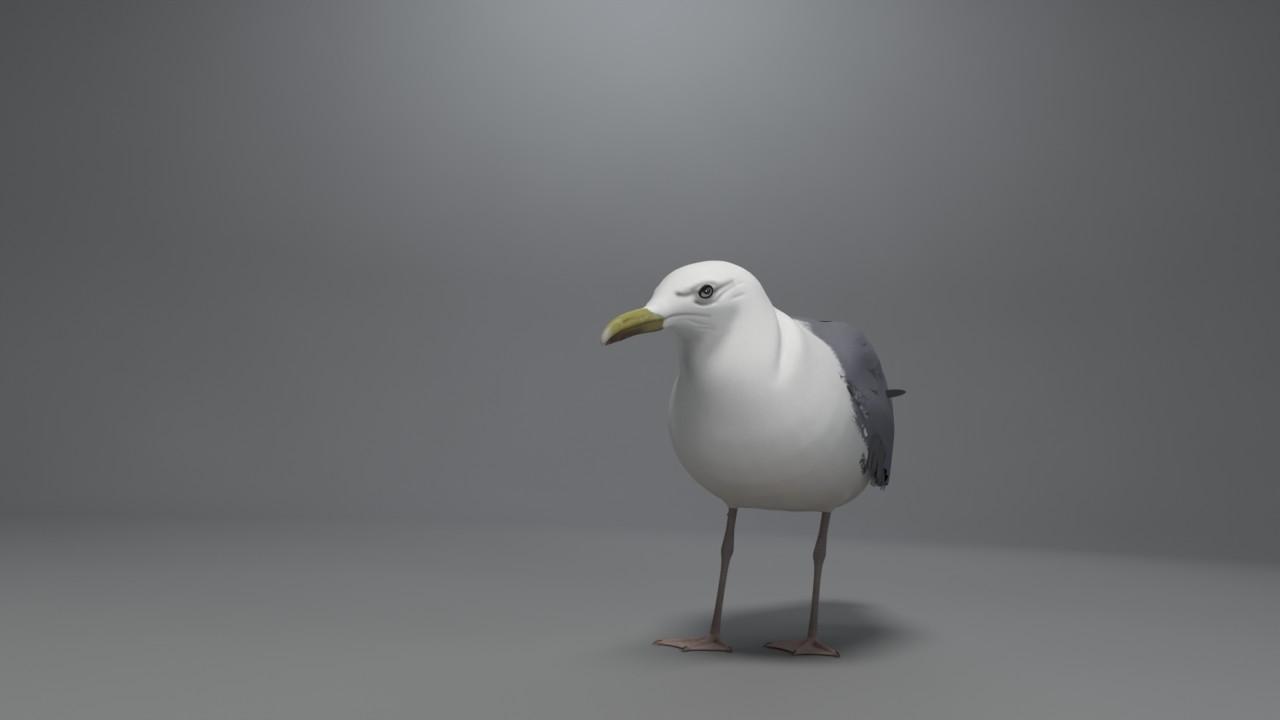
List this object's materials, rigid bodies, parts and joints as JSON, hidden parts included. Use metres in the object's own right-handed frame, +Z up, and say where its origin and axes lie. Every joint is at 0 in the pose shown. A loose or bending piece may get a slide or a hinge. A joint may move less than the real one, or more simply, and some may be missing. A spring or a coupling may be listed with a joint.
{
  "type": "herring gull model",
  "caption": "Life-size still model of an adult herring gull standing on both feet, head lowered and turned to its right, wings folded.",
  "frame": {"origin": "on the floor, under the middle of the whole bird", "axes": "+Z up, the bird's trunk faces -Y, its left side is +X"},
  "size_m": [0.178, 0.557, 0.287],
  "materials": {
    "plumage_white": "soft white feathers, matte",
    "plumage_grey": "pale ash-grey feathers, matte",
    "plumage_black": "black flight feathers with white tips, slight sheen",
    "bill": "yellow horn with a red spot near the lower tip, satin",
    "leg_skin": "pale flesh-pink scaled skin, satin",
    "eye": "pale yellow iris and black pupil under a clear wet surface"
  },
  "bodies": {
    "root": {"head": "plumage_white", "neck": "plumage_white", "trunk": "plumage_white", "thigh_left": "plumage_white", "thigh_right": "plumage_white", "tail": "plumage_white", "wing_left": "plumage_grey", "wing_right": "plumage_grey", "primaries_left": "plumage_black", "primaries_right": "plumage_black", "bill_upper": "bill", "bill_lower": "bill", "eye_left": "eye", "eye_right": "eye", "leg_left": "leg_skin", "leg_right": "leg_skin", "foot_left": "leg_skin", "foot_right": "leg_skin"}
  },
  "joints": []
}
